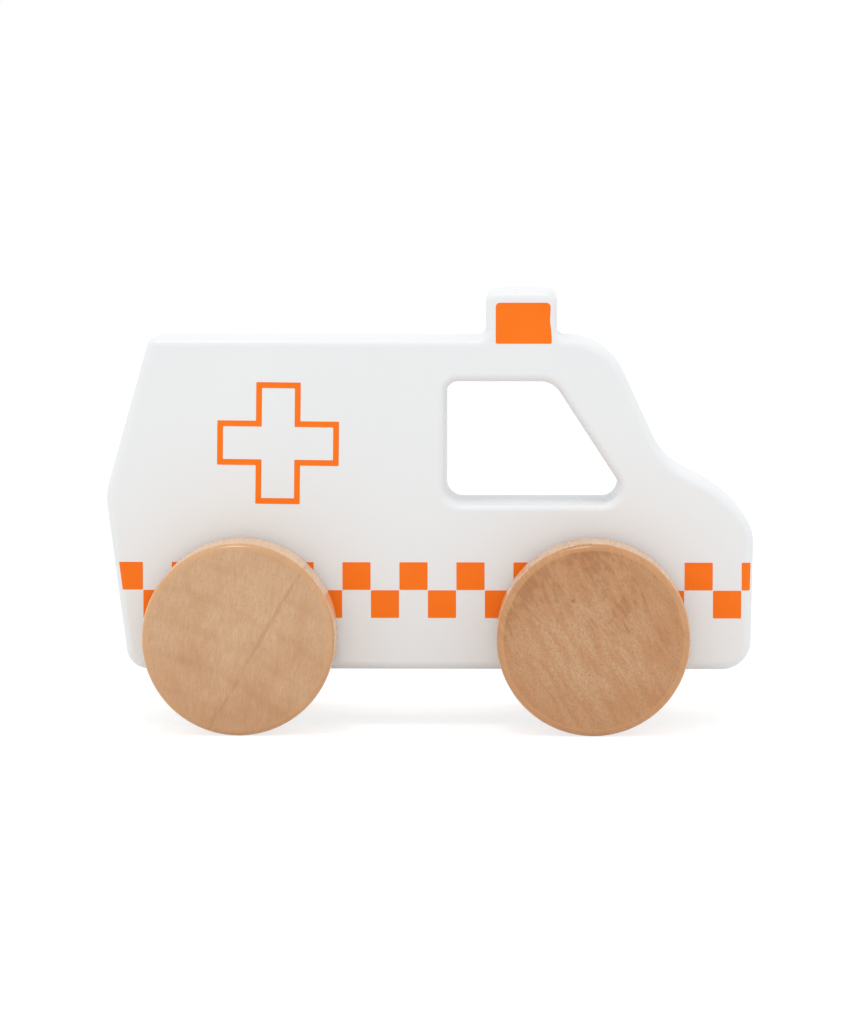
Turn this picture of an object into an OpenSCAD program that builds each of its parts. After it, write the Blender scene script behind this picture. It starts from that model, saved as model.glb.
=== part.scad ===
// Toy ambulance on four wooden wheels.
// One plank, sawn to the side outline of an ambulance, is rounded over along every edge and round its window.
// It runs on two dowels, which turn in the plank and are glued into the blind bores of the four disc wheels.
// Frame: +X to the nose, +Y to the left-hand side, +Z up, with the origin on the floor under the plank's middle.
// Heights on the plank are measured from its underside, and setbacks from the end of the plank that they name.

/* [Plank] */
// Length, from the rear knee to the nose
body_length = 140; // [126:1:160]
// Height, from the underside to the roof
body_height = 71.8; // [66:0.2:84]
// Thickness from side to side
body_thickness = 28; // [20:1:40]
// Radius of the rounded-over edges, limited by the tightest outside corner
edge_round = 1.8; // [0.6:0.1:3]

/* [Rear end] */
// Height of the rear knee, where the tail leans out furthest
knee_height = 38; // [28:0.5:48]
// Setback of the roof's rear corner from the rear end
roof_rear_setback = 9.3; // [4:0.1:16]
// Setback of the underside's rear corner from the rear end
tail_setback = 4.7; // [1:0.1:10]
// Corner radius at the rear knee
knee_round = 13.5; // [4:0.5:24]
// Corner radius at the rear of the roof
roof_rear_round = 2; // [1:0.1:6]
// Corner radius at the rear of the underside
tail_round = 4.8; // [2:0.1:8]

/* [Cab and nose] */
// Setback of the roof's front corner from the nose, before it is rounded
roof_front_setback = 31.5; // [27:0.1:36]
// Setback of the windscreen's foot from the nose
windscreen_foot_setback = 19.1; // [15:0.1:23]
// Height of the windscreen's foot
windscreen_foot_height = 45; // [41:0.5:52]
// Setback from the nose of the bend where the bonnet steepens
bonnet_bend_setback = 7; // [5:0.1:9]
// Height of the bend where the bonnet steepens
bonnet_bend_height = 38.8; // [36:0.1:40.5]
// Height of the corner between the bonnet and the nose
nose_height = 31.4; // [26:0.1:34]
// Setback of the bumper's foot from the nose
bumper_setback = 0.6; // [0:0.1:3]
// Corner radius between the roof and the windscreen
roof_front_round = 14; // [6:0.5:18]
// Corner radius in the hollow at the windscreen's foot
windscreen_foot_round = 14.5; // [4:0.5:20]
// Corner radius of the bonnet's bend
bonnet_round = 32; // [10:1:50]
// Corner radius at the nose
nose_round = 9.8; // [4:0.2:14]
// Corner radius at the front of the underside
bumper_round = 6.3; // [2:0.1:9]

/* [Beacon] */
// Length of the beacon stub along the roof
beacon_length = 15.5; // [10:0.1:18]
// Height of the beacon stub above the roof
beacon_height = 10.2; // [7:0.1:16]
// Setback of the beacon's middle from the nose
beacon_setback = 50.2; // [49:0.1:62]
// Corner radius at the top of the beacon
beacon_round = 2.3; // [1:0.1:4]
// Corner radius in the hollows at the beacon's foot
beacon_foot_round = 1.9; // [1.2:0.1:4]

/* [Window] */
// Setback of the window's rear edge from the nose
window_rear_setback = 66.5; // [60:0.1:74]
// Length of the window along its top
window_top_length = 23.1; // [16:0.1:28]
// Length of the window along its sill, before its corners are rounded
window_sill_length = 40.3; // [34:0.1:44]
// Height of the sill
window_sill_height = 36.1; // [34:0.1:42]
// Height of the opening
window_height = 26.3; // [18:0.1:28]
// Corner radius at the top rear of the window
window_top_rear_round = 2.7; // [1.5:0.1:5]
// Corner radius at the top front of the window
window_top_front_round = 5; // [2:0.1:8]
// Corner radius at the front end of the sill
window_sill_front_round = 3.4; // [1.5:0.1:5]
// Corner radius at the rear end of the sill
window_sill_rear_round = 3.4; // [1.5:0.1:5]

/* [Wheels] */
// Diameter of the wheels
wheel_diameter = 41.3; // [36:0.1:46]
// Thickness of the wheels
wheel_thickness = 17; // [11:0.5:20]
// Radius of the eased rims
wheel_rim_round = 1.6; // [0.4:0.1:3]
// Gap between the plank and the wheels
wheel_gap = 1; // [0.5:0.1:3]
// Distance between the axles
wheelbase = 75.7; // [66:0.1:84]
// Setback of the rear axle from the rear end
rear_axle_setback = 29.5; // [26:0.1:34]

/* [Axles] */
// Diameter of the dowels
axle_diameter = 8; // [5:0.5:10]
// Height of the axles above the plank's underside
axle_height = 8.25; // [7.5:0.05:12]
// Depth of the blind bores in the wheels
wheel_bore_depth = 10; // [6:0.5:10]
// Bevel on the dowels' ends
axle_bevel = 0.8; // [0.3:0.1:1.5]
// Running clearance all round the dowels in the plank
running_clearance = 0.08; // [0.02:0.01:0.1]
// Glue line all round the dowels in the wheels
glue_line = 0.05; // [0.02:0.01:0.1]
// Room left for glue at the ends of the dowels
glue_pocket = 0.5; // [0.2:0.1:1]

/* [Hidden] */
$fn = 96;

paint_white = "#ecedef";
wheel_wood = "#cda57d";
dowel_wood = "#d9b88f";

// Sides of the vehicle along Y
left_side = 1;
right_side = -1;
// Widest angle that one chord of a rounded corner spans
corner_step = 6;
// Chords across one rounded-over edge
edge_steps = 4;
// Chords across one eased rim
rim_steps = 6;
// How far a cut runs past the face that it opens
overrun = 1;
// Most of a corner's radius that the edge round may use up
edge_share = 0.9;

rear_x = -body_length / 2;
nose_x = body_length / 2;
axle_z = wheel_diameter / 2;
underside_z = axle_z - axle_height;
roof_z = underside_z + body_height;
rear_axle_x = rear_x + rear_axle_setback;
front_axle_x = rear_axle_x + wheelbase;
beacon_x = nose_x - beacon_setback;
beacon_z = roof_z + beacon_height;
window_x = nose_x - window_rear_setback;
sill_z = underside_z + window_sill_height;
lintel_z = sill_z + window_height;
side_y = body_thickness / 2;
wheel_y = side_y + wheel_gap;

// A rounded corner that faces an end of the plank touches that end, so the corner that it rounds off stands out
// past the end. The two angles are those of its sides from the upright.
function stand_out(r, above, below) = r * (cos((above - below) / 2) / cos((above + below) / 2) - 1);
knee_x = rear_x - stand_out(
    knee_round,
    atan(roof_rear_setback / (body_height - knee_height)),
    atan(tail_setback / knee_height));
peak_x = nose_x + stand_out(
    nose_round,
    atan(bonnet_bend_setback / (bonnet_bend_height - nose_height)),
    atan(bumper_setback / nose_height));

// Corners of the plank's side as [x, z, radius], with the wood on the left of the path.
outline = [
    [rear_x + tail_setback, underside_z, tail_round],
    [nose_x - bumper_setback, underside_z, bumper_round],
    [peak_x, underside_z + nose_height, nose_round],
    [nose_x - bonnet_bend_setback, underside_z + bonnet_bend_height, bonnet_round],
    [nose_x - windscreen_foot_setback, underside_z + windscreen_foot_height, windscreen_foot_round],
    [nose_x - roof_front_setback, roof_z, roof_front_round],
    [beacon_x + beacon_length / 2, roof_z, beacon_foot_round],
    [beacon_x + beacon_length / 2, beacon_z, beacon_round],
    [beacon_x - beacon_length / 2, beacon_z, beacon_round],
    [beacon_x - beacon_length / 2, roof_z, beacon_foot_round],
    [rear_x + roof_rear_setback, roof_z, roof_rear_round],
    [knee_x, underside_z + knee_height, knee_round]
];

// Corners of the window, also with the wood on the left of the path.
window = [
    [window_x, lintel_z, window_top_rear_round],
    [window_x + window_top_length, lintel_z, window_top_front_round],
    [window_x + window_sill_length, sill_z, window_sill_front_round],
    [window_x, sill_z, window_sill_rear_round]
];

// Plane geometry of a path with rounded corners
function wrapped(path, i) = path[(i + len(path)) % len(path)];
function corner(path, i) = [wrapped(path, i)[0], wrapped(path, i)[1]];
function side(path, i) = corner(path, i + 1) - corner(path, i);
function heading(path, i) = side(path, i) / norm(side(path, i));
function turn(path, i) =
    let (a = heading(path, i - 1), b = heading(path, i))
    atan2(a[0] * b[1] - a[1] * b[0], a * b);
// Length of side that the arc at a corner takes up, as drawn
function wanted_reach(path, i) = wrapped(path, i)[2] * tan(abs(turn(path, i)) / 2);
// Share of its radius that a corner keeps where two arcs would meet on one side
function kept_share(path, i) =
    let (before = wanted_reach(path, i - 1) + wanted_reach(path, i),
         after = wanted_reach(path, i) + wanted_reach(path, i + 1))
    min(1, norm(side(path, i - 1)) / before, norm(side(path, i)) / after);
function radius(path, i) = wrapped(path, i)[2] * kept_share(path, i);
function chords(path, i) = max(2, ceil(abs(turn(path, i)) / corner_step));

// Points round one corner of a path that is moved into the wood by inset
function corner_arc(path, i, inset) =
    let (bend = turn(path, i),
         way = bend > 0 ? 1 : -1,
         r = radius(path, i),
         in = heading(path, i - 1),
         start = corner(path, i) - in * r * tan(abs(bend) / 2),
         to_centre = [-in[1], in[0]] * way,
         centre = start + to_centre * r,
         first = atan2(-to_centre[1], -to_centre[0]),
         count = chords(path, i))
    [for (k = [0:count])
        let (a = first + bend * k / count)
        centre + (r - way * inset) * [cos(a), sin(a)]];

// The whole path, moved into the wood by inset
function ring(path, inset) = [for (i = [0:len(path) - 1]) each corner_arc(path, i, inset)];

outside_radii = [for (i = [0:len(outline) - 1]) if (turn(outline, i) > 0) radius(outline, i)];
edge = min(edge_round, edge_share * min(outside_radii));

// Half of the rounded edge's section as [inset, y], from the wall to the flat side
edge_quarter = [for (k = [0:edge_steps])
    let (a = 90 * k / edge_steps)
    [edge * (1 - cos(a)), side_y - edge + edge * sin(a)]];
// Whole section, from the right-hand side to the left-hand side
edge_section = concat(
    [for (k = [edge_steps:-1:0]) [edge_quarter[k][0], -edge_quarter[k][1]]],
    edge_quarter);

// A rim of wood that follows a path, rounded over at both of its edges
module rim(path) {
    count = len(ring(path, 0));
    levels = len(edge_section);
    polyhedron(
        points = [for (s = edge_section) for (p = ring(path, s[0])) [p[0], s[1], p[1]]],
        faces = [for (j = [0:levels - 1])
            for (i = [0:count - 1])
            let (here = j * count,
                 next = ((j + 1) % levels) * count,
                 along = (i + 1) % count)
            each [[here + i, next + along, next + i], [here + i, here + along, next + along]]]);
}

// The plank between its rims, flat on both sides
module core() {
    rotate([90, 0, 0])
        linear_extrude(height = body_thickness, center = true)
            difference() {
                polygon(ring(outline, edge));
                polygon(ring(window, edge));
            }
}

// Cylinder along Y, centred on the plank
module cross_bar(x, diameter, length) {
    translate([x, 0, axle_z])
        rotate([90, 0, 0])
            cylinder(d = diameter, h = length, center = true);
}

// Dowel with bevelled ends, along Y
module dowel(x) {
    half = wheel_y + wheel_bore_depth - glue_pocket;
    r = axle_diameter / 2;
    translate([x, 0, axle_z])
        rotate([90, 0, 0])
            rotate_extrude()
                polygon([
                    [0, -half], [r - axle_bevel, -half], [r, axle_bevel - half],
                    [r, half - axle_bevel], [r - axle_bevel, half], [0, half]
                ]);
}

// Disc with eased rims and a blind bore in its inner face, on one side of the plank
module wheel(x, side) {
    flat = wheel_diameter / 2 - wheel_rim_round;
    rim_arc = [for (k = [0:rim_steps])
        let (a = 90 * k / rim_steps)
        [flat + wheel_rim_round * sin(a), wheel_rim_round * (1 - cos(a))]];
    outer_arc = [for (k = [rim_steps:-1:0]) [rim_arc[k][0], wheel_thickness - rim_arc[k][1]]];
    translate([x, side * wheel_y, axle_z])
        rotate([-90 * side, 0, 0])
            difference() {
                rotate_extrude()
                    polygon(concat([[0, 0]], rim_arc, outer_arc, [[0, wheel_thickness]]));
                translate([0, 0, -overrun])
                    cylinder(d = axle_diameter + 2 * glue_line, h = wheel_bore_depth + overrun);
            }
}

module body() {
    color(paint_white)
        difference() {
            union() {
                core();
                rim(outline);
                rim(window);
            }
            for (x = [rear_axle_x, front_axle_x])
                cross_bar(x, axle_diameter + 2 * running_clearance, body_thickness + 2 * overrun);
        }
}

module front_axle() { color(dowel_wood) dowel(front_axle_x); }
module rear_axle() { color(dowel_wood) dowel(rear_axle_x); }
module front_right_wheel() { color(wheel_wood) wheel(front_axle_x, right_side); }
module front_left_wheel() { color(wheel_wood) wheel(front_axle_x, left_side); }
module rear_right_wheel() { color(wheel_wood) wheel(rear_axle_x, right_side); }
module rear_left_wheel() { color(wheel_wood) wheel(rear_axle_x, left_side); }

body();
front_axle();
rear_axle();
front_right_wheel();
front_left_wheel();
rear_right_wheel();
rear_left_wheel();
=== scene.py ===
# %% [markdown]
# # A toy ambulance in painted wood
#
# The toy is one thick plank, sawn to the side view of an ambulance, rounded over along its edges and sprayed
# white. It rolls on two dowels, each with a turned wooden disc at both ends, and orange ink is printed on its
# sides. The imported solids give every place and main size, so they are loaded first. The dowels stay as they
# are. The plank and the discs are made again with finer rounding, so that no facet shows in a close view.

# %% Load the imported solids
import math

import bmesh
import bpy
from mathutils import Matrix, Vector
from mathutils.geometry import tessellate_polygon


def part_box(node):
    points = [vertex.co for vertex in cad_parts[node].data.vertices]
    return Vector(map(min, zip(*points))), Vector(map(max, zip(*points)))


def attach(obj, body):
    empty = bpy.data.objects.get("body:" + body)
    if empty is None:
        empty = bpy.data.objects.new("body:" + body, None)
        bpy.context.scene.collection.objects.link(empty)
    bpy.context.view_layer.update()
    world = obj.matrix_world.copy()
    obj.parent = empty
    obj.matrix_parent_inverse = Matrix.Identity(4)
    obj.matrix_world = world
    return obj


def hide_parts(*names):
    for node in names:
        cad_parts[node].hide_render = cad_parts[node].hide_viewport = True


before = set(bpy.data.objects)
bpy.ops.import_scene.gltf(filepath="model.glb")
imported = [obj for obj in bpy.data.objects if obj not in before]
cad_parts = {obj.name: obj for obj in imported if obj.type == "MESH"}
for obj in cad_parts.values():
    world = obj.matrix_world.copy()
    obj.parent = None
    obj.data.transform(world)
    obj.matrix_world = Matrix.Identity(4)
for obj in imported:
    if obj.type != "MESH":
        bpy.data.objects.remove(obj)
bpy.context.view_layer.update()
MM = 0.001  # metres in a millimetre: tables below are in millimetres, and meshes in metres
print("nodes:", ", ".join(sorted(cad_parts)))

# %% [markdown]
# ## Three small helpers
#
# Colours are picked as sRGB hex values, as any paint program shows them, but Blender's shaders count in
# linear light, so one function turns the first into the second. The next adds one node to a material, with
# its settings and its links, which keeps each material below a short list of what is seen. The last starts a
# material with the place on the piece in millimetres, so that every pattern can have its real size.


# %% Colour, node and material helpers
def linear(hex_colour):
    """Linear RGBA of an sRGB hex colour."""
    channels = [int(hex_colour[i : i + 2], 16) / 255 for i in (1, 3, 5)]
    return [c / 12.92 if c <= 0.04045 else ((c + 0.055) / 1.055) ** 2.4 for c in channels] + [1.0]


def add_node(tree, kind, sockets=None, **settings):
    """Adds a node. Each socket gets a plain value, or a link from another node's output."""
    node = tree.nodes.new(kind)
    for name, value in settings.items():
        setattr(node, name, value)
    for socket, value in (sockets or {}).items():
        if isinstance(value, bpy.types.NodeSocket):
            tree.links.new(value, node.inputs[socket])
        else:
            node.inputs[socket].default_value = value
    return node


def start_material(name):
    """A new material, its node tree, its shader, and the place on the piece in millimetres."""
    material = bpy.data.materials.new(name)
    material.use_nodes = True
    tree = material.node_tree
    place = add_node(tree, "ShaderNodeTexCoord").outputs["Object"]
    in_mm = add_node(tree, "ShaderNodeVectorMath", {0: place, 1: (1 / MM,) * 3}, operation="MULTIPLY")
    return material, tree, tree.nodes["Principled BSDF"], in_mm.outputs["Vector"]


print("mid grey in linear light:", round(linear("#808080")[0], 3))

# %% [markdown]
# ## The outline of the plank
#
# A joiner draws the side of the toy as straight lines with a rounded corner where they meet. The same drawing
# is a table here: the place of each corner and its radius. A Bezier curve would give the shape too, but with
# a table each arc is a true arc, and the direction that the edge faces is known at every point, which the
# shading needs later. The ends, the underside and the top come from the solid.

# %% Corners of the plank and of its window
BEACON_RISE = 10.2  # height of the beacon's stub above the roof
BEACON_REAR_SETBACK, BEACON_FRONT_SETBACK = 57.95, 42.45  # its two sides, counted back from the nose
WINDOW_SETBACK, SILL_RISE, WINDOW_TALL = 66.5, 36.1, 26.3  # rear edge, sill above the base, and height
KNEE_RISE = 38.0
KNEE_STAND_OUT = 0.23  # a rounded knee touches the end of the plank, so its corner stands out past it
NOSE_STAND_OUT = 0.07

plank_low, plank_high = (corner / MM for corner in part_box("body"))
rear, nose = plank_low.x, plank_high.x
base, beacon_top = plank_low.z, plank_high.z
half_thick = plank_high.y
roof = beacon_top - BEACON_RISE
beacon_rear, beacon_front = nose - BEACON_REAR_SETBACK, nose - BEACON_FRONT_SETBACK
window_rear, sill = nose - WINDOW_SETBACK, base + SILL_RISE
lintel = sill + WINDOW_TALL

# x, height and radius of each corner, going round with the wood on the left
PLANK_CORNERS = [
    (rear + 4.7, base, 4.8),  # tail
    (nose - 0.6, base, 6.3),  # bumper
    (nose + NOSE_STAND_OUT, base + 31.4, 9.8),  # nose
    (nose - 7.0, base + 38.8, 32.0),  # bend of the bonnet
    (nose - 19.1, base + 45.0, 14.5),  # foot of the windscreen
    (nose - 31.5, roof, 14.0),  # front of the roof
    (beacon_front, roof, 1.9),
    (beacon_front, beacon_top, 2.3),
    (beacon_rear, beacon_top, 2.3),
    (beacon_rear, roof, 1.9),
    (rear + 9.3, roof, 2.0),  # rear of the roof
    (rear - KNEE_STAND_OUT, base + KNEE_RISE, 13.5),  # rear knee
]
WINDOW_CORNERS = [
    (window_rear, lintel, 2.7),
    (window_rear + 23.1, lintel, 5.0),
    (window_rear + 40.3, sill, 3.4),
    (window_rear, sill, 3.4),
]
print("plank from", round(rear, 2), "to", round(nose, 2), "mm, roof at", round(roof, 2), "mm")

# %% Follow the corners
CHORD_SAG = 0.002  # how far a chord may cut inside its arc, in millimetres: far too little to see
FEWEST_CHORDS = 2


def rounded_path(corners, inset=0.0):
    """Points round a path, moved into the wood by inset, and the direction out of the wood at each."""
    points, outward = [], []
    for i, (x, z, radius) in enumerate(corners):
        here = Vector((x, z))
        before = here - Vector(corners[i - 1][:2])
        after = Vector(corners[(i + 1) % len(corners)][:2]) - here
        bend = math.atan2(before.cross(after), before.dot(after))
        way = math.copysign(1, bend)
        ahead = before.normalized()
        to_centre = Vector((-ahead.y, ahead.x)) * way
        centre = here - ahead * radius * math.tan(abs(bend) / 2) + to_centre * radius
        first = math.atan2(-to_centre.y, -to_centre.x)
        chord_angle = 2 * math.acos(1 - CHORD_SAG / radius)
        chords = max(FEWEST_CHORDS, math.ceil(round(abs(bend) / chord_angle, 6)))
        for k in range(chords + 1):
            angle = first + bend * k / chords
            spoke = Vector((math.cos(angle), math.sin(angle)))
            points.append(centre + spoke * (radius - way * inset))
            outward.append(spoke * way)
    return points, outward


plank_edge = rounded_path(PLANK_CORNERS)[0]
print("points round the plank:", len(plank_edge))

# %% [markdown]
# ## Meshes with exact normals
#
# A flat face next to a small round is where smooth shading goes wrong: Blender averages the two, and a broad
# soft stain runs over the flat. A Weighted Normal modifier hides most of that. Here the true direction is
# known at every vertex, so the meshes carry it as custom normals. Faces that are named flat keep their own.


# %% Mesh helpers
def band(first, second, count):
    """Faces between two closed loops of count vertices, which begin at the numbers first and second."""
    ends = [(i, (i + 1) % count) for i in range(count)]
    return [(first + i, first + after, second + after, second + i) for i, after in ends]


def make_piece(name, vertices, faces, normals, flat, body, middle=(0, 0, 0)):
    """Mesh object that rides on a body, in millimetres round its middle. flat numbers the flat faces."""
    bm = bmesh.new()
    corners = [bm.verts.new(Vector(v) * MM) for v in vertices]
    for face in faces:
        bm.faces.new([corners[i] for i in face])
    bmesh.ops.recalc_face_normals(bm, faces=bm.faces[:])
    mesh = bpy.data.meshes.new(name)
    bm.to_mesh(mesh)
    bm.free()
    mesh.polygons.foreach_set("use_smooth", [True] * len(mesh.polygons))
    mesh.normals_split_custom_set(
        [
            polygon.normal if polygon.index in flat else normals[vertex]
            for polygon in mesh.polygons
            for vertex in polygon.vertices
        ]
    )
    piece = bpy.data.objects.new(name, mesh)
    piece.location = Vector(middle) * MM
    bpy.context.scene.collection.objects.link(piece)
    bpy.context.view_layer.update()
    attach(piece, body)
    print(f"{name}: {len(mesh.vertices)} vertices, {len(mesh.polygons)} faces, rides on {body}")
    return piece


# %% [markdown]
# ## The plank
#
# The sawn plank was run past a rounding cutter on both sides, round its window too. A Bevel modifier on an
# extruded outline gives nearly this, but it pinches at the small corners of the beacon. Instead the outline
# is repeated at every level across the plank, a little further into the wood at each step of the round. Two
# flat sides close it, with holes for the window and the dowels.

# %% Round the plank and its window over
EDGE_ROUND = 1.8  # radius of the rounded-over edges
EDGE_STEPS = 8

levels = []  # inset, place across the plank, and how far the round has turned to the flat side
for side in (-1, 1):
    for k in range(EDGE_STEPS + 1):
        lift = math.pi / 2 * (k / EDGE_STEPS if side > 0 else 1 - k / EDGE_STEPS)
        across = side * (half_thick - EDGE_ROUND + EDGE_ROUND * math.sin(lift))
        levels.append((EDGE_ROUND * (1 - math.cos(lift)), across, side * lift))

vertices, normals, faces = [], [], []
rims = []  # loops of vertices round the two flat sides: the plank's, the window's and the bores'
for corners in (PLANK_CORNERS, WINDOW_CORNERS):
    start = len(vertices)
    for inset, across, lift in levels:
        points, outward = rounded_path(corners, inset)
        vertices += [(p.x, across, p.y) for p in points]
        level, rise = math.cos(lift), math.sin(lift)
        normals += [Vector((o.x * level, rise, o.y * level)) for o in outward]
    count = len(points)
    starts = [start + j * count for j in range(len(levels))]
    for here, there in zip(starts, starts[1:]):
        faces += band(here, there, count)
    rims.append([[first + i for i in range(count)] for first in (starts[0], starts[-1])])
print("levels across the plank:", len(levels), "with", len(faces), "faces")

# %% Bore it for the dowels
BORE_CLEARANCE = 0.08  # room all round a dowel that turns in the plank
BORE_POINTS = 72

for axle in ("rear_axle", "front_axle"):
    low, high = (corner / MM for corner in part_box(axle))
    middle, radius = (low + high) / 2, (high.z - low.z) / 2 + BORE_CLEARANCE
    starts = [len(vertices), len(vertices) + BORE_POINTS]
    for across in (-half_thick, half_thick):
        for i in range(BORE_POINTS):
            turn = 2 * math.pi * i / BORE_POINTS
            spoke = Vector((math.cos(turn), 0, math.sin(turn)))
            vertices.append((middle.x + radius * spoke.x, across, middle.z + radius * spoke.z))
            normals.append(-spoke)
    faces += band(*starts, BORE_POINTS)
    rims.append([[first + i for i in range(BORE_POINTS)] for first in starts])
    print("bore for the", axle, "in mm:", round(2 * radius, 2))

# %% Close its flat sides
flat = set()
for end in (0, 1):
    loops = [rim[end] for rim in rims]
    numbers = [number for loop in loops for number in loop]
    for triangle in tessellate_polygon([[vertices[number] for number in loop] for loop in loops]):
        flat.add(len(faces))
        faces.append([numbers[i] for i in triangle])

plank = make_piece("painted_plank", vertices, faces, normals, flat, "plank")
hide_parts("body")

# %% [markdown]
# ## White satin enamel
#
# The plank is sprayed with two coats of white acrylic enamel and rubbed down between them. It is a cool, very
# pale white with a low sheen: roughness near 0.4, and the IOR of an acrylic film, about 1.49. Close up, the
# film has the faint ripple of sprayed paint, about a millimetre from crest to crest, and the wood's grain
# shows through as long shallow lines. Both are bumps of some microns, and the white itself wanders by a
# shade. One plain colour would do for the far view, but it has no sheen that changes as the toy turns.

# %% Enamel for the plank
ENAMEL_WHITE, ENAMEL_SHADE = "#ECEEF0", "#E7E9EB"
ENAMEL_IOR = 1.49
ENAMEL_ROUGH = (0.36, 0.44)  # least and most
CLOUD = 35.0  # millimetres across a patch that is a shade darker
SPRAY_RIPPLE = 1.1  # millimetres from crest to crest
PAINTED_GRAIN = (30.0, 0.8, 0.8)  # millimetres along a line of grain under the paint, and across it
PAINT_BUMP = 0.02 * MM  # height of a ripple or a line of grain
RIPPLE_SHARE, GRAIN_SHARE = 0.25, 0.2  # how much of that height shows
NOISE_LOW, NOISE_HIGH = 0.3, 0.7  # nearly all of a noise pattern lies between these values

enamel, tree, shader, place = start_material("white_satin_acrylic_enamel_sprayed")
cloud = add_node(tree, "ShaderNodeTexNoise", {"Vector": place, "Scale": 1 / CLOUD, "Detail": 3.0})
shades = {0: cloud.outputs[0], 6: linear(ENAMEL_WHITE), 7: linear(ENAMEL_SHADE)}
white = add_node(tree, "ShaderNodeMix", shades, data_type="RGBA")
ripple = add_node(tree, "ShaderNodeTexNoise", {"Vector": place, "Scale": 1 / SPRAY_RIPPLE, "Detail": 1.0})
sized = add_node(tree, "ShaderNodeVectorMath", {0: place, 1: PAINTED_GRAIN}, operation="DIVIDE").outputs[0]
grain = add_node(tree, "ShaderNodeTexNoise", {"Vector": sized, "Scale": 1.0, "Detail": 2.0})
rippled = {"Height": ripple.outputs[0], "Strength": RIPPLE_SHARE, "Distance": PAINT_BUMP}
relief = add_node(tree, "ShaderNodeBump", rippled)
grained = {"Height": grain.outputs[0], "Strength": GRAIN_SHARE, "Distance": PAINT_BUMP}
relief = add_node(tree, "ShaderNodeBump", grained | {"Normal": relief.outputs[0]})
spread = {"From Min": NOISE_LOW, "From Max": NOISE_HIGH, "To Min": ENAMEL_ROUGH[0], "To Max": ENAMEL_ROUGH[1]}
sheen = add_node(tree, "ShaderNodeMapRange", {"Value": grain.outputs[0]} | spread)
tree.links.new(white.outputs[2], shader.inputs["Base Color"])
tree.links.new(sheen.outputs[0], shader.inputs["Roughness"])
tree.links.new(relief.outputs[0], shader.inputs["Normal"])
shader.inputs["IOR"].default_value = ENAMEL_IOR
plank.data.materials.append(enamel)
print("enamel nodes:", len(tree.nodes))

# %% [markdown]
# ## Printed ink
#
# The beacon, the cross and the two rows of checks are screen printed: a film of orange ink, a few hundredths
# of a millimetre thick, that lies on the paint and follows it where it begins to round over. A pattern in the
# plank's material would do from afar, but a film of its own keeps a crisp edge at any distance, and it can
# have the ink's own sheen. Each print is a grid of points on the plank's side, lifted by the film's
# thickness. Corners are a little rounded, as the mesh of a screen leaves them.


# %% The surface that the ink lies on
def on_side(x, z):
    """Depth below the flat side, and the direction out of the paint, at a place on the plank's side."""
    spot = Vector((x, z))
    near, gap = None, EDGE_ROUND
    for i, end in enumerate(plank_edge):
        begin = plank_edge[i - 1]
        along = end - begin
        reach = along.length_squared
        share = min(1, max(0, (spot - begin).dot(along) / reach)) if reach else 0
        foot = begin + along * share
        if (spot - foot).length < gap:
            near, gap = foot, (spot - foot).length
    if near is None:
        return 0.0, Vector((0, 1, 0))
    over = EDGE_ROUND - gap
    level = math.sqrt(EDGE_ROUND**2 - over**2)
    out = (near - spot).normalized() * over / EDGE_ROUND
    return EDGE_ROUND - level, Vector((out.x, level / EDGE_ROUND, out.y))


print("depth of the paint halfway over the knee's round in mm:")
print(round(on_side(rear + EDGE_ROUND / 2, base + KNEE_RISE)[0], 3))

# %% Points over a print
INK_CORNER = 0.16  # radius of the corners of a print
CORNER_ROWS = 5
FINE_STEPS = 24  # columns or rows of a print that follows a curve


def patch(left, right, bottom, top, columns, low_corner=INK_CORNER, high_corner=INK_CORNER, rows=1):
    """Rows of points over a print with upright sides, which left and right give at each height."""
    quarter = [math.pi / 2 * k / CORNER_ROWS for k in range(CORNER_ROWS + 1)]
    first, last = bottom + low_corner, top - high_corner
    heights = []  # height of each row, and how far a rounded corner pulls it in
    for a in quarter:
        heights.append((bottom + low_corner * (1 - math.cos(a)), low_corner * (1 - math.sin(a))))
    heights += [(first + (last - first) * k / rows, 0.0) for k in range(1, rows)]
    for a in reversed(quarter):
        heights.append((top - high_corner * (1 - math.cos(a)), high_corner * (1 - math.sin(a))))
    grid = []
    for height, pull_in in heights:
        start, end = left(height) + pull_in, right(height) - pull_in
        grid.append([Vector((start + (end - start) * k / columns, height)) for k in range(columns + 1)])
    return grid


print("rows in a plain print:", len(patch(lambda z: 0.0, lambda z: 1.0, 0.0, 1.0, 1)))

# %% Lay a film of ink on those points
INK_FILM = 0.03  # thickness of the ink above the paint, and as far again below the surface, out of sight


def print_ink(name, grids, side, closed=False):
    """One print on one side, from grids of points. A closed grid joins its last column to its first."""
    vertices, normals, faces, flat = [], [], [], set()
    for grid in grids:
        start, wide, high = len(vertices), len(grid[0]), len(grid)
        for lift in (INK_FILM, -INK_FILM):
            for row in grid:
                for p in row:
                    depth, out = on_side(p.x, p.y)
                    out = Vector((out.x, out.y * side, out.z))
                    vertices.append(Vector((p.x, side * (half_thick - depth), p.y)) + out * lift)
                    normals.append(out if lift > 0 else -out)
        under = wide * high
        spans = [(i, (i + 1) % wide) for i in range(wide if closed else wide - 1)]
        for j in range(high - 1):
            here, there = start + j * wide, start + (j + 1) * wide
            for i, after in spans:
                quad = [here + i, here + after, there + after, there + i]
                faces += [quad, [number + under for number in quad]]
        border = [(start + i, start + after) for i, after in spans]
        border += [(a + wide * (high - 1), b + wide * (high - 1)) for a, b in border]
        if not closed:
            for i in (start, start + wide - 1):
                border += [(i + j * wide, i + (j + 1) * wide) for j in range(high - 1)]
        for a, b in border:
            flat.add(len(faces))
            faces.append([a, b, b + under, a + under])
    return make_piece(name, vertices, faces, normals, flat, "plank")


print("film of ink in mm:", INK_FILM)

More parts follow.
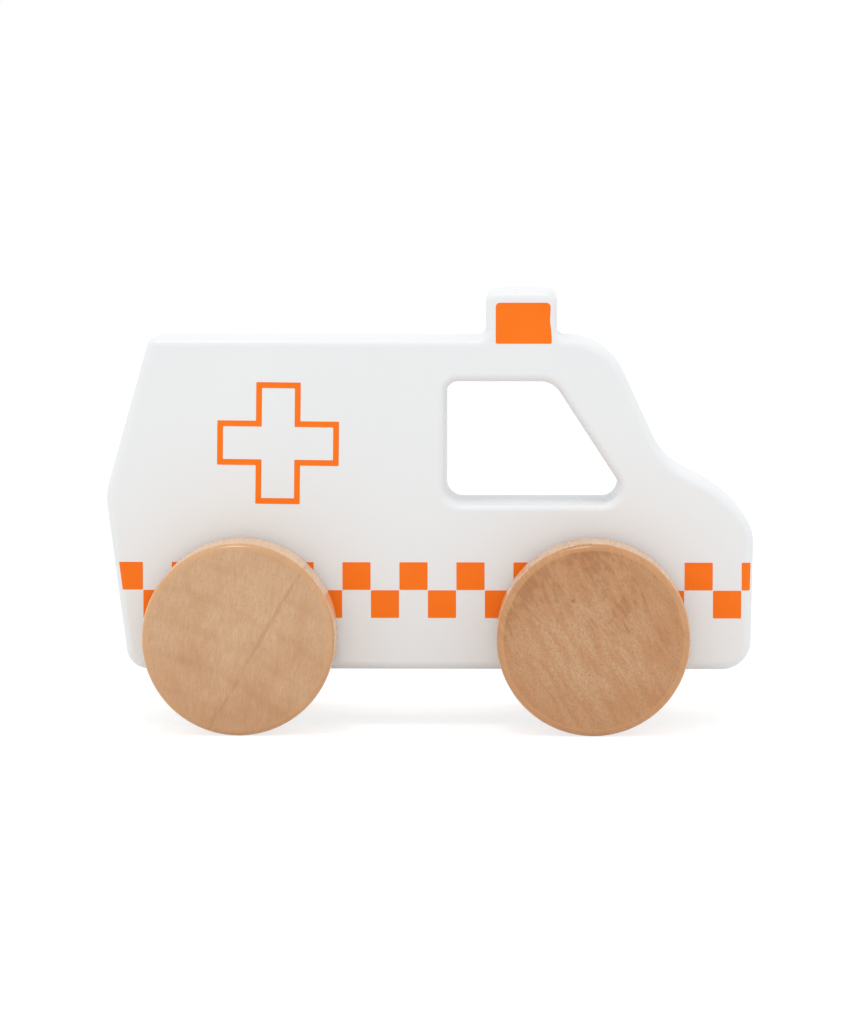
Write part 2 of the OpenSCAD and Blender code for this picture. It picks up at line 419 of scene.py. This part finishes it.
# %% [markdown]
# ### Orange screen ink
#
# Screen ink is a thick opaque acrylic, warm orange, drier in sheen than the enamel. The mesh of the screen
# leaves a very fine even tooth, and the squeegee leaves the film slightly uneven, so the orange wanders by a
# shade. The dry film is full of tiny pores, which weaken its reflection, so its IOR is set below that of
# solid acrylic. The tooth is about 0.1 mm in life and drawn at 0.25 mm, because finer would not show.

# %% Ink for the prints
INK_ORANGE, INK_DEEP = "#FF7A04", "#F87203"
INK_IOR = 1.33
INK_ROUGH = (0.45, 0.55)  # least and most
SCREEN_TOOTH = 0.25  # millimetres
SQUEEGEE = 6.0  # millimetres across an uneven patch of the film
TOOTH_BUMP, TOOTH_SHARE = 0.01 * MM, 0.2  # height of the tooth, and how much of it shows

ink, tree, shader, place = start_material("orange_acrylic_ink_screen_printed")
uneven = add_node(tree, "ShaderNodeTexNoise", {"Vector": place, "Scale": 1 / SQUEEGEE, "Detail": 4.0})
shades = {0: uneven.outputs[0], 6: linear(INK_ORANGE), 7: linear(INK_DEEP)}
orange = add_node(tree, "ShaderNodeMix", shades, data_type="RGBA")
tooth = add_node(tree, "ShaderNodeTexNoise", {"Vector": place, "Scale": 1 / SCREEN_TOOTH, "Detail": 0.0})
toothed = {"Height": tooth.outputs[0], "Strength": TOOTH_SHARE, "Distance": TOOTH_BUMP}
relief = add_node(tree, "ShaderNodeBump", toothed)
spread = {"From Min": NOISE_LOW, "From Max": NOISE_HIGH, "To Min": INK_ROUGH[0], "To Max": INK_ROUGH[1]}
sheen = add_node(tree, "ShaderNodeMapRange", {"Value": uneven.outputs[0]} | spread)
tree.links.new(orange.outputs[2], shader.inputs["Base Color"])
tree.links.new(sheen.outputs[0], shader.inputs["Roughness"])
tree.links.new(relief.outputs[0], shader.inputs["Normal"])
shader.inputs["IOR"].default_value = INK_IOR
print("ink nodes:", len(tree.nodes))

# %% [markdown]
# ### Beacon, cross and checks
#
# The beacon's print covers the flat of the stub and just begins to turn over its front edge, where the ink is
# a little short halfway up. The cross is an outline, which a squeegee pulled slightly askew. The far side
# carries the same prints. Each could be drawn as a curve and filled, but rows of points from edge to edge
# follow the round better.

# %% Print the beacon
BEACON_LOW, BEACON_HIGH = base + 70.62, base + 79.46
BEACON_LEFT, BEACON_RIGHT = beacon_rear + 2.2, beacon_front - 1.5
BEACON_FLARE = 0.3  # the front edge of the print leans out by this much at its foot
BEACON_FOOT_CORNER, BEACON_TOP_CORNER = 0.35, 0.9
SHORT_BY, SHORT_HALF, SHORT_HEIGHT = 0.22, 1.3, base + 75.6  # where the squeegee rode up and the ink is short
SIDES = {"right": -1, "left": 1}  # direction along Y of each side of the vehicle


def beacon_front_edge(height):
    """Where the front edge of the beacon's print is at a height."""
    flare = BEACON_FLARE * (BEACON_HIGH - height) / (BEACON_HIGH - BEACON_LOW)
    short = SHORT_BY * math.exp(-(((height - SHORT_HEIGHT) / SHORT_HALF) ** 2) / 2)
    return BEACON_RIGHT + flare - short


prints = []
for side_name, side in SIDES.items():
    grid = patch(
        lambda z: BEACON_LEFT,
        beacon_front_edge,
        BEACON_LOW,
        BEACON_HIGH,
        FINE_STEPS,
        BEACON_FOOT_CORNER,
        BEACON_TOP_CORNER,
        FINE_STEPS,
    )
    prints.append(print_ink(f"beacon_print_{side_name}", [grid], side))

# %% Print the cross
CROSS_MIDDLE = Vector((rear + 37.24, base + 49.11))
CROSS_SPAN, CROSS_ARM, CROSS_LINE = 26.3, 9.6, 1.25
CROSS_ASKEW = {"right": math.radians(-0.65), "left": math.radians(0.4)}


def cross_path(span, arm, askew):
    """Points round a cross of twelve corners, turned slightly about its middle."""
    s, a = span / 2, arm / 2
    spots = [(a, -s), (a, -a), (s, -a), (s, a), (a, a), (a, s)]
    spots += [(-a, s), (-a, a), (-s, a), (-s, -a), (-a, -a), (-a, -s)]
    turned = []
    for x, z in spots:
        turned_x = CROSS_MIDDLE.x + x * math.cos(askew) - z * math.sin(askew)
        turned_z = CROSS_MIDDLE.y + x * math.sin(askew) + z * math.cos(askew)
        turned.append((turned_x, turned_z, INK_CORNER))
    return rounded_path(turned)[0]


for side_name, side in SIDES.items():
    outer = cross_path(CROSS_SPAN, CROSS_ARM, CROSS_ASKEW[side_name])
    inner = cross_path(CROSS_SPAN - 2 * CROSS_LINE, CROSS_ARM - 2 * CROSS_LINE, CROSS_ASKEW[side_name])
    prints.append(print_ink(f"cross_print_{side_name}", [[outer, inner]], side, closed=True))

# %% Where the round cuts the checks off
REAR_CUT, NOSE_CUT = 1.05, 0.55  # how far in from the ends the band stops


def end_of_plank(inset, pick):
    """The plank's end, moved in by inset, as a function of height."""
    points = rounded_path(PLANK_CORNERS, inset)[0]

    def place_at(height):
        crossings = []
        for i, end in enumerate(points):
            begin = points[i - 1]
            if (begin.y - height) * (end.y - height) < 0:
                crossings.append(begin.x + (end.x - begin.x) * (height - begin.y) / (end.y - begin.y))
        return pick(crossings)

    return place_at


CHECK_TOP = base + 23.38
rear_cut, nose_cut = end_of_plank(REAR_CUT, min), end_of_plank(NOSE_CUT, max)
print("band of checks from", round(rear_cut(CHECK_TOP), 2), "to", round(nose_cut(CHECK_TOP), 2), "mm")

# %% Print the checks
CHECK_PITCH, CHECK_HEIGHT = 6.163, 6.08
CHECK_SHY = 0.04  # the ink stops short of its square by this much all round
CHECK_START = rear + 7.94  # where the first whole check begins
CHECK_COLUMNS = 21

for side_name, side in SIDES.items():
    grids = []
    for row in (0, 1):
        top = CHECK_TOP - row * CHECK_HEIGHT
        for column in range(-1, CHECK_COLUMNS + 1):
            if (column + row) % 2 == 0:
                continue
            start = CHECK_START + column * CHECK_PITCH + CHECK_SHY
            end = start + CHECK_PITCH - 2 * CHECK_SHY
            at_rear, at_nose = column < 0, column == CHECK_COLUMNS
            grids.append(
                patch(
                    rear_cut if at_rear else lambda z, start=start: start,
                    nose_cut if at_nose else lambda z, end=end: end,
                    top - CHECK_HEIGHT + CHECK_SHY,
                    top - CHECK_SHY,
                    FINE_STEPS if at_rear or at_nose else 1,
                )
            )
    prints.append(print_ink(f"check_print_{side_name}", grids, side))
for piece in prints:
    piece.data.materials.append(ink)

# %% [markdown]
# ## The wheels
#
# Each wheel is a plain disc, turned from a plank, with its two rims eased and a blind hole for the dowel in
# its inner face. A Screw modifier on a profile is the usual way. The disc is spun by hand here, so that its
# flat faces keep exact normals up to the rim. Each disc is built round its own middle, because the wood grain
# below is laid out from there.

# %% Turn the four discs
RIM_ROUND = 1.6
RIM_STEPS = 10
BORE_DEPTH = 10.0
GLUE_LINE = 0.05
DISC_POINTS = 180
axle_low, axle_high = (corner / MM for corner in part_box("rear_axle"))
bore_radius = (axle_high.z - axle_low.z) / 2 + GLUE_LINE


def turn_disc(node, body):
    """A disc in the place of a wheel of the frame, with its blind hole towards the plank."""
    low, high = (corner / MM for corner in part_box(node))
    middle, radius, thick = (low + high) / 2, (high.z - low.z) / 2, high.y - low.y
    side = math.copysign(1, middle.y)
    # radius, depth from the inner face, and the two parts of the normal: out from the axle and along it
    profile = [(bore_radius, BORE_DEPTH, -1, 0), (bore_radius, 0, -1, 0)]
    arc = [math.pi / 2 * k / RIM_STEPS for k in range(RIM_STEPS + 1)]
    flat_radius = radius - RIM_ROUND
    for a in arc:
        out, up = math.sin(a), math.cos(a)
        profile.append((flat_radius + RIM_ROUND * out, RIM_ROUND * (1 - up), out, -up))
    for a in reversed(arc):
        out, up = math.sin(a), math.cos(a)
        profile.append((flat_radius + RIM_ROUND * out, thick - RIM_ROUND * (1 - up), out, up))
    vertices, normals, faces = [], [], []
    for r, depth, out, up in profile:
        for i in range(DISC_POINTS):
            turn = 2 * math.pi * i / DISC_POINTS
            x, z = math.cos(turn), math.sin(turn)
            vertices.append((r * x, side * (depth - thick / 2), r * z))
            normals.append(Vector((out * x, side * up, out * z)))
    for j in range(len(profile) - 1):
        faces += band(j * DISC_POINTS, (j + 1) * DISC_POINTS, DISC_POINTS)
    inner_face = range(DISC_POINTS, 2 * DISC_POINTS)  # the ring of faces round the mouth of the hole
    flat = set(inner_face) | {len(faces), len(faces) + 1}
    faces.append(range(DISC_POINTS))
    faces.append(range(len(vertices) - DISC_POINTS, len(vertices)))
    disc = make_piece(node.replace("wheel", "disc"), vertices, faces, normals, flat, body, middle)
    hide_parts(node)
    return disc


discs = {}
for end in ("rear", "front"):
    for side_name in SIDES:
        discs[end, side_name] = turn_disc(f"{end}_{side_name}_wheel", f"{end}_wheel_set")

# %% [markdown]
# ## Oiled beech
#
# The discs are a pale wood with a fine grain, such as beech or maple, sanded and wiped with clear oil. No two
# look the same. Their flat faces show thin fibres, faint reddish growth rings round a heart that lies outside
# the disc, now and then one dark mineral streak or a pin knot, and short flecks where rays of the wood are
# cut. The rear pair is calm, and the front pair has a restless wavy figure with cloudy darker places. The
# eased rim is a crisp ring, warmer than the face, and its tint is painted paler: partly its own tone, and
# partly a painted sheen that stands in for the light catching the rounded rim from above. The tread is
# painted paler still, partly its own tone and partly a painted sheen for the light on its top. A ready
# wood texture repeats and ends at the edge of the face. Wood is a solid pattern, so every part of it is laid
# out in three dimensions round the middle of the disc, and the tread shows the same fibres from their ends.

# %% Fibres, pores, flecks and clouds
# sizes in millimetres: along the grain, through the disc, and across the grain on the disc's face
PORE = (0.5, 0.4, 0.38)
CLOUDY = (11.0, 11.0, 11.0)
STREAK_WANDER = (14.0, 14.0, 30.0)


def fibres_and_clouds(tree, place, board):
    """Soft random patterns of one board, and how far a place is beside its mineral streak."""
    streak_deg, streak_shift = board["streak"]
    turned = {}
    for key, angle, shift in (("grain", board["grain_deg"], 0), ("streak", streak_deg, streak_shift)):
        sockets = {"Vector": place, "Rotation": (0, math.radians(angle), 0), "Location": (0, 0, shift)}
        turned[key] = add_node(tree, "ShaderNodeMapping", sockets).outputs[0]
    patterns = {"beside": add_node(tree, "ShaderNodeSeparateXYZ", {0: turned["streak"]}).outputs["Z"]}
    # what it draws, what it is turned with, its size, layers of finer detail, and how much it swirls
    for key, turned_with, size, layers, swirl in (
        ("fibre", "grain", board["fibre"], 3.0, 0.0),
        ("pore", "grain", PORE, 1.0, 0.0),
        ("fleck", "grain", board["fleck"], 1.0, 0.3),
        ("figure", "grain", board["figure"], 2.0, 0.6),
        ("cloudy", "grain", CLOUDY, 2.0, 0.0),
        ("wander", "streak", STREAK_WANDER, 2.0, 0.0),
    ):
        sized = add_node(tree, "ShaderNodeVectorMath", {0: turned[turned_with], 1: size}, operation="DIVIDE")
        sockets = {"Vector": sized.outputs[0], "W": board["seed"], "Scale": 1.0}
        sockets |= {"Detail": layers, "Distortion": swirl}
        patterns[key] = add_node(tree, "ShaderNodeTexNoise", sockets, noise_dimensions="4D").outputs[0]
    return patterns


def stronger_along(tree, pattern, place, lean):
    """A pattern that gets stronger in one direction, by lean per millimetre."""
    rise = add_node(tree, "ShaderNodeVectorMath", {0: place, 1: lean}, operation="DOT_PRODUCT")
    sockets = {0: pattern, 1: rise.outputs["Value"]}
    return add_node(tree, "ShaderNodeMath", sockets, operation="ADD").outputs[0]


print("smallest pore in mm:", min(PORE))

# %% Growth rings
RING_SPACING = 7.0  # millimetres
RING_WANDER = 16.0  # length in which a ring wanders once to and fro
RING_STRAY, RING_LAYERS = 1.2, 2.0  # how far it wanders, and in how many layers of finer detail
RING_PHASE = 4.34  # radians: where the first ring lies
WAVE_LENGTH = math.pi / 10  # of Blender's wave texture at a scale of 1


def growth_rings(tree, place, heart):
    """Waves round the heart of the tree, which is 1 where the wood is darkest."""
    x, z = heart
    moved = add_node(tree, "ShaderNodeVectorMath", {0: place, 1: (x, 0, z)}, operation="SUBTRACT")
    sockets = {
        "Vector": moved.outputs[0],
        "Scale": WAVE_LENGTH / RING_SPACING,
        "Distortion": RING_STRAY,
        "Detail": RING_LAYERS,
        "Detail Scale": RING_SPACING / WAVE_LENGTH / RING_WANDER,
        "Phase Offset": RING_PHASE,
    }
    ring = add_node(tree, "ShaderNodeTexWave", sockets, wave_type="RINGS", rings_direction="Y")
    return ring.outputs["Fac"]


print("rings in mm:", RING_SPACING)

# %% Mineral streak
STREAK_SWAY = 2.0  # how far a mineral streak strays from its straight line
STREAK_SOFT = 0.5  # half width of a streak, to the end of its soft border
BREAK_UP = 2.4  # how strongly the figure breaks a streak up


def mineral_streak(tree, patterns):
    """Distance from a streak that sways, more where the figure breaks it up."""
    sockets = {0: patterns["wander"], 1: STREAK_SWAY, 2: patterns["beside"]}
    swayed = add_node(tree, "ShaderNodeMath", sockets, operation="MULTIPLY_ADD").outputs[0]
    aside = add_node(tree, "ShaderNodeMath", {0: swayed, 1: STREAK_SWAY / 2}, operation="SUBTRACT").outputs[0]
    aside = add_node(tree, "ShaderNodeMath", {0: aside}, operation="ABSOLUTE").outputs[0]
    sockets = {0: patterns["figure"], 1: BREAK_UP, 2: aside}
    return add_node(tree, "ShaderNodeMath", sockets, operation="MULTIPLY_ADD").outputs[0]


print("streak in mm:", 2 * STREAK_SOFT)

# %% Middle, rim and tread
RIM_FADE = (-0.1, 0.3)  # the rim's tone and painted sheen come in over this stretch, counted from the end of the flat face
TREAD_FADE = (-0.3, -0.01)  # and the tread's over this one, counted from the full radius
wheel_low, wheel_high = (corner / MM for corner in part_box("rear_right_wheel"))
wheel_radius = (wheel_high.z - wheel_low.z) / 2


def distance_from(tree, place, spot):
    """Distance from a line through the disc, along its axle, at a spot on its face."""
    x, z = spot
    moved = add_node(tree, "ShaderNodeVectorMath", {0: place, 1: (x, 0, z)}, operation="SUBTRACT").outputs[0]
    flat = add_node(tree, "ShaderNodeVectorMath", {0: moved, 1: (1, 0, 1)}, operation="MULTIPLY").outputs[0]
    return add_node(tree, "ShaderNodeVectorMath", {0: flat}, operation="LENGTH").outputs["Value"]


def rim_and_tread(tree, radius):
    """Where the rim is, and where the tread is, from 0 to 1."""
    past = []
    for edge, (none, full) in ((wheel_radius - RIM_ROUND, RIM_FADE), (wheel_radius, TREAD_FADE)):
        sockets = {"Value": radius, "From Min": edge + none, "From Max": edge + full}
        past.append(add_node(tree, "ShaderNodeMapRange", sockets).outputs[0])
    past_face, on_tread = past
    on_rim = add_node(tree, "ShaderNodeMath", {0: past_face, 1: on_tread}, operation="SUBTRACT")
    return on_rim.outputs[0], on_tread


print("disc in mm:", round(2 * wheel_radius, 2))

# %% One board of oiled beech
PIN_DARK, PIN_SOFT = 0.2, 0.65  # radius of a pin knot, and of the stain round it
PALE_MIDDLE, OILY_BORDER = 6.0, 19.0  # between these radii the oil darkens the face
TREAD_FLECKS = -0.14  # rays show end on at the tread, so there are fewer flecks
RIM_TONE_AND_SHEEN_SHARE = 0.4  # how much the rim takes its tint, its own tone and a painted sheen
BEECH_IOR = 1.5
BEECH_ROUGH = (0.18, 0.28)  # least and most
FIBRE_BUMP, FIBRE_SHARE = 0.03 * MM, 0.2  # height of a fibre, and how much of it shows


def oiled_beech(name, board):
    """Beech for one disc, cut from a board that the table below describes."""
    wood, tree, shader, place = start_material(name)
    patterns = fibres_and_clouds(tree, place, board)
    ring = growth_rings(tree, place, board["heart"])
    streak = mineral_streak(tree, patterns)
    from_pin = distance_from(tree, place, board["pin"])
    radius = distance_from(tree, place, (0, 0))
    on_rim, on_tread = rim_and_tread(tree, radius)
    cloud = stronger_along(tree, patterns["cloudy"], place, board["cloud_lean"])
    broken_ring, fleck = (
        add_node(tree, "ShaderNodeMath", {0: patterns["cloudy"], 1: other}, operation="ADD").outputs[0]
        for other in (ring, patterns["fleck"])
    )
    fleck = stronger_along(tree, fleck, place, board["fleck_lean"])
    sockets = {0: on_tread, 1: TREAD_FLECKS, 2: fleck}
    fleck = add_node(tree, "ShaderNodeMath", sockets, operation="MULTIPLY_ADD").outputs[0]
    depths = board["depths"]
    tone = linear(board["light"])
    # pattern, value where its tint begins, value where it is full, share of the tint then, and the tint
    for pattern, none, full, share, tint in (
        (cloud, 0.38, 0.72, depths["cloudy"], "dark"),
        (radius, PALE_MIDDLE, OILY_BORDER, depths["border"], "dark"),
        # the tread's tint: partly its own tone, partly a painted sheen for the light on its top
        (on_tread, 0.0, 1.0, 1.0, "tread"),
        (patterns["figure"], 0.4, 0.68, depths["figure"], "dark"),
        (patterns["fibre"], 0.36, 0.68, depths["fibre"], "fine"),
        (patterns["pore"], 0.5, 0.74, depths["pore"], "fine"),
        (broken_ring, 1.25, 1.65, depths["ring"], "red"),
        (fleck, 1.1, 1.4, depths["fleck"], "red"),
        (streak, BREAK_UP / 2 + STREAK_SOFT, BREAK_UP / 2, depths["streak"], "red"),
        (from_pin, PIN_SOFT, PIN_DARK, depths["pin"], "red"),
        # the rim's tint: partly its own tone, partly a painted sheen for the light catching the rim from
        # above
        (on_rim, 0.0, 1.0, RIM_TONE_AND_SHEEN_SHARE, "rim"),
    ):
        sockets = {"Value": pattern, "From Min": none, "From Max": full, "To Max": share}
        mix = add_node(tree, "ShaderNodeMapRange", sockets, interpolation_type="SMOOTHSTEP").outputs[0]
        sockets = {0: mix, 6: tone, 7: linear(board[tint])}
        tone = add_node(tree, "ShaderNodeMix", sockets, data_type="RGBA").outputs[2]
    fibrous = {"Height": patterns["fibre"], "Strength": FIBRE_SHARE, "Distance": FIBRE_BUMP}
    relief = add_node(tree, "ShaderNodeBump", fibrous)
    least, most = BEECH_ROUGH
    spread = {"From Min": NOISE_LOW, "From Max": NOISE_HIGH, "To Min": least, "To Max": most}
    sheen = add_node(tree, "ShaderNodeMapRange", {"Value": patterns["fibre"]} | spread)
    tree.links.new(tone, shader.inputs["Base Color"])
    tree.links.new(sheen.outputs[0], shader.inputs["Roughness"])
    tree.links.new(relief.outputs[0], shader.inputs["Normal"])
    shader.inputs["IOR"].default_value = BEECH_IOR
    return wood


print("roughness of the oiled wood:", BEECH_ROUGH)

# %% [markdown]
# ### Four boards
#
# Discs from one board look alike, and the toy has two kinds. Each kind has its tones, the sizes of its
# fibres, flecks and figure, and how strongly each of them shows. Each disc then adds its own cut: where the
# grain runs and where the heart of the tree was. Each disc also gets darker towards one side, the rear right
# one towards its bottom. Four separate materials could be drawn node by node, but a table of what differs
# shows at a glance why no two discs are the same.

# %% Two kinds of board
CALM = dict(
    light="#D4AC87",
    dark="#B87C44",
    fine="#B48962",
    red="#AD7650",
    # rim and tread are painted paler than the wood: partly their own tone, partly a painted sheen
    rim="#D6A371",
    tread="#F2C594",
    fibre=(2.8, 0.5, 0.26),  # sizes as for the pores
    fleck=(2.4, 1.5, 0.7),
    figure=(5.0, 12.0, 2.0),
    pin=(0, 0),
    depths=dict(  # how strongly each part of the pattern shows
        cloudy=0.34,
        border=0.1,
        figure=0.17,
        fibre=0.36,
        pore=0.4,
        ring=0.15,
        fleck=0.18,
        streak=0.36,
        pin=0.0,
    ),
)
WAVY = dict(
    light="#CCA17A",
    dark="#B26B28",
    fine="#A6784C",
    red="#8F5A2C",
    # rim and tread are painted paler than the wood: partly their own tone, partly a painted sheen
    rim="#D9A16F",
    tread="#F2C499",
    fibre=(1.0, 0.5, 0.34),
    fleck=(2.6, 1.5, 0.8),
    figure=(6.5, 12.0, 1.5),
    depths=dict(
        cloudy=0.26,
        border=0.3,
        figure=0.36,
        fibre=0.38,
        pore=0.56,
        ring=0.0,
        fleck=0.4,
        streak=0.0,
        pin=0.6,
    ),
)
print("tints of a board:", ", ".join(key for key in CALM if isinstance(CALM[key], str)))

# %% Cut the four discs from them
# seed picks the pattern. Then come the turn of the grain, the heart that the rings go round, the way in which
# the cloud and the flecks get stronger, per millimetre, the turn and shift of the mineral streak, and the
# place of the pin knot.
BOARDS = {
    ("rear", "right"): dict(
        CALM,
        seed=1.0,
        grain_deg=84,
        heart=(-31, -63),
        # this disc's cloud and flecks get stronger towards its bottom, so it is darker there
        cloud_lean=(0, 0, -0.007),
        fleck_lean=(0, 0, -0.007),
        streak=(59, 4.2),
    ),
    ("rear", "left"): dict(
        CALM,
        seed=4.0,
        grain_deg=-20,
        heart=(60, 30),
        cloud_lean=(0.006, 0, 0.004),
        fleck_lean=(0.006, 0, 0.004),
        streak=(-32, -7.0),
    ),
    ("front", "right"): dict(
        WAVY,
        seed=2.0,
        grain_deg=122,
        heart=(-30, -45),
        cloud_lean=(0, 0, 0.006),
        fleck_lean=(-0.002, 0, 0.012),
        streak=(118, 9.0),
        pin=(-4.4, 8.4),
    ),
    ("front", "left"): dict(
        WAVY,
        seed=7.0,
        grain_deg=35,
        heart=(20, -50),
        cloud_lean=(0, 0, -0.002),
        fleck_lean=(-0.01, 0, -0.004),
        streak=(40, 6.0),
        pin=(6.0, -9.0),
    ),
}
for key, board in BOARDS.items():
    discs[key].data.materials.append(oiled_beech(f"oiled_beech_turned_{key[0]}_{key[1]}", board))
print("boards:", len(BOARDS))

# %% [markdown]
# ## The dowels
#
# Only a millimetre of each dowel shows, between the plank and its wheels. They are bought beech rod, planed
# and left bare: paler and drier than the discs, with fibres along their length. They could be turned again
# like the discs, but the solid is right as it is, so it only gets this wood.

# %% Wood for the dowels
ROD_PALE, ROD_DARK = "#E2C29C", "#C79F74"
ROD_ROUGH = 0.65
ROD_FIBRE = (0.35, 12.0, 0.35)  # millimetres: a dowel lies along Y
ROD_BUMP, ROD_SHARE = 0.05 * MM, 0.4  # height of a fibre, and how much of it shows

rod, tree, shader, place = start_material("bare_beech_rod_planed")
sized = add_node(tree, "ShaderNodeVectorMath", {0: place, 1: ROD_FIBRE}, operation="DIVIDE").outputs[0]
fibre = add_node(tree, "ShaderNodeTexNoise", {"Vector": sized, "Scale": 1.0, "Detail": 4.0})
shades = {0: fibre.outputs[0], 6: linear(ROD_PALE), 7: linear(ROD_DARK)}
tone = add_node(tree, "ShaderNodeMix", shades, data_type="RGBA")
fibrous = {"Height": fibre.outputs[0], "Strength": ROD_SHARE, "Distance": ROD_BUMP}
relief = add_node(tree, "ShaderNodeBump", fibrous)
tree.links.new(tone.outputs[2], shader.inputs["Base Color"])
tree.links.new(relief.outputs[0], shader.inputs["Normal"])
shader.inputs["Roughness"].default_value = ROD_ROUGH
for name in ("rear_axle", "front_axle"):
    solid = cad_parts[name]
    if not solid.material_slots:
        solid.data.materials.append(rod)
    for slot in solid.material_slots:
        slot.material = rod
print("dowels get:", rod.name)

# %% [markdown]
# ## Floor, light and background
#
# A white toy on a white ground needs soft, even light, so that no side of it burns out. Several large lamps
# could give that. Here a white room does it, slightly brighter behind the toy than in front, and one small
# lamp above adds the glints along the rims and makes the roof a little brighter than the sides. The floor is
# pale, and the camera sees it and the room as plain white. It sees some of the floor's own light too, so the
# soft shadow of the toy stays.

# %% Floor
FLOOR_PALE = "#EFEFED"
FLOOR_SHADOW = "#A6A6A6"  # how much of the floor's own light the camera sees, on top of its white
FLOOR_WHITE = 0.74
FLOOR_HALF = 3.0  # metres


def seen_directly(tree):
    """1 for a ray from the camera, also by way of a mirror or glass, and 0 for light that bounces."""
    path = add_node(tree, "ShaderNodeLightPath").outputs
    sockets = {0: path["Is Glossy Ray"], 1: path["Is Transmission Ray"]}
    mirrored = add_node(tree, "ShaderNodeMath", sockets, operation="MAXIMUM")
    sockets = {0: path["Is Camera Ray"], 1: mirrored.outputs[0]}
    return add_node(tree, "ShaderNodeMath", sockets, operation="MAXIMUM").outputs[0]


bpy.ops.mesh.primitive_plane_add(size=2 * FLOOR_HALF, location=(0, 0, 0))
floor = bpy.context.object
floor.name = "floor"
studio_board = bpy.data.materials.new("pale_matt_studio_board")
studio_board.use_nodes = True
tree = studio_board.node_tree
tree.nodes.clear()
plain = add_node(tree, "ShaderNodeBsdfDiffuse", {"Color": linear(FLOOR_PALE)})
shadowed = add_node(tree, "ShaderNodeBsdfDiffuse", {"Color": linear(FLOOR_SHADOW)})
glow = add_node(tree, "ShaderNodeEmission", {"Strength": FLOOR_WHITE})
shown = add_node(tree, "ShaderNodeAddShader", {0: shadowed.outputs[0], 1: glow.outputs[0]})
sockets = {0: seen_directly(tree), 1: plain.outputs[0], 2: shown.outputs[0]}
mixed = add_node(tree, "ShaderNodeMixShader", sockets)
add_node(tree, "ShaderNodeOutputMaterial", {"Surface": mixed.outputs[0]})
floor.data.materials.append(studio_board)
print("floor in metres:", 2 * FLOOR_HALF)

# %% Room
ROOM_FRONT, ROOM_BACK = 0.925, 1.06  # light of the room in front of the toy, and of the white wall behind it

world = bpy.data.worlds.new("white_room")
world.use_nodes = True
bpy.context.scene.world = world
tree = world.node_tree
tree.nodes.clear()
aim = add_node(tree, "ShaderNodeTexCoord").outputs["Generated"]
aim = add_node(tree, "ShaderNodeSeparateXYZ", {0: aim})
spread = {"From Min": -1.0, "From Max": 1.0, "To Min": ROOM_FRONT, "To Max": ROOM_BACK}
level = add_node(tree, "ShaderNodeMapRange", {"Value": aim.outputs["Y"]} | spread)
room = add_node(tree, "ShaderNodeBackground", {"Color": (1, 1, 1, 1), "Strength": level.outputs[0]})
backdrop = add_node(tree, "ShaderNodeBackground", {"Color": (1, 1, 1, 1), "Strength": 1.0})
sockets = {0: seen_directly(tree), 1: room.outputs[0], 2: backdrop.outputs[0]}
mixed = add_node(tree, "ShaderNodeMixShader", sockets)
add_node(tree, "ShaderNodeOutputWorld", {"Surface": mixed.outputs[0]})
print("room light from front to back:", ROOM_FRONT, ROOM_BACK)

# %% Lamp
LAMP_PLACE = Vector((-0.2, -0.6, 1.65))  # metres, as its size
LAMP_SIZE, LAMP_POWER = 0.35, 5.0
LAMP_AIM = Vector((0, 0, 0.045))

lamp = bpy.data.lights.new("overhead_softbox", "AREA")
lamp.size, lamp.energy = LAMP_SIZE, LAMP_POWER
holder = bpy.data.objects.new("overhead_softbox", lamp)
holder.location = LAMP_PLACE
holder.rotation_euler = (LAMP_AIM - LAMP_PLACE).to_track_quat("-Z", "Y").to_euler()
bpy.context.scene.collection.objects.link(holder)
bpy.context.scene.view_settings.view_transform = "Standard"
print("lamp:", LAMP_POWER, "W")

# %% [markdown]
# ## Camera
#
# The toy is seen from its right-hand side, from about a metre away, four degrees above the level and one
# degree towards the nose. A wide lens could come closer, but it would show more of the roof and the treads. A
# long lens from further off keeps the far edges close behind the near ones.

# %% Place the camera
AZIMUTH, ELEVATION = math.radians(1.0), math.radians(4.4)
DISTANCE = 1.046  # metres
LENS = 170.2  # millimetres
LOOK_AT = Vector((0.0003, -half_thick * MM, 0.04665))
back = Vector(
    (
        math.sin(AZIMUTH) * math.cos(ELEVATION),
        -math.cos(AZIMUTH) * math.cos(ELEVATION),
        math.sin(ELEVATION),
    )
)
camera = bpy.data.objects.new("camera", bpy.data.cameras.new("camera"))
camera.data.lens = LENS
camera.location = LOOK_AT + back * DISTANCE
camera.rotation_euler = (-back).to_track_quat("-Z", "Y").to_euler()
bpy.context.scene.collection.objects.link(camera)
bpy.context.scene.camera = camera
print("camera at", [round(v, 4) for v in camera.location])
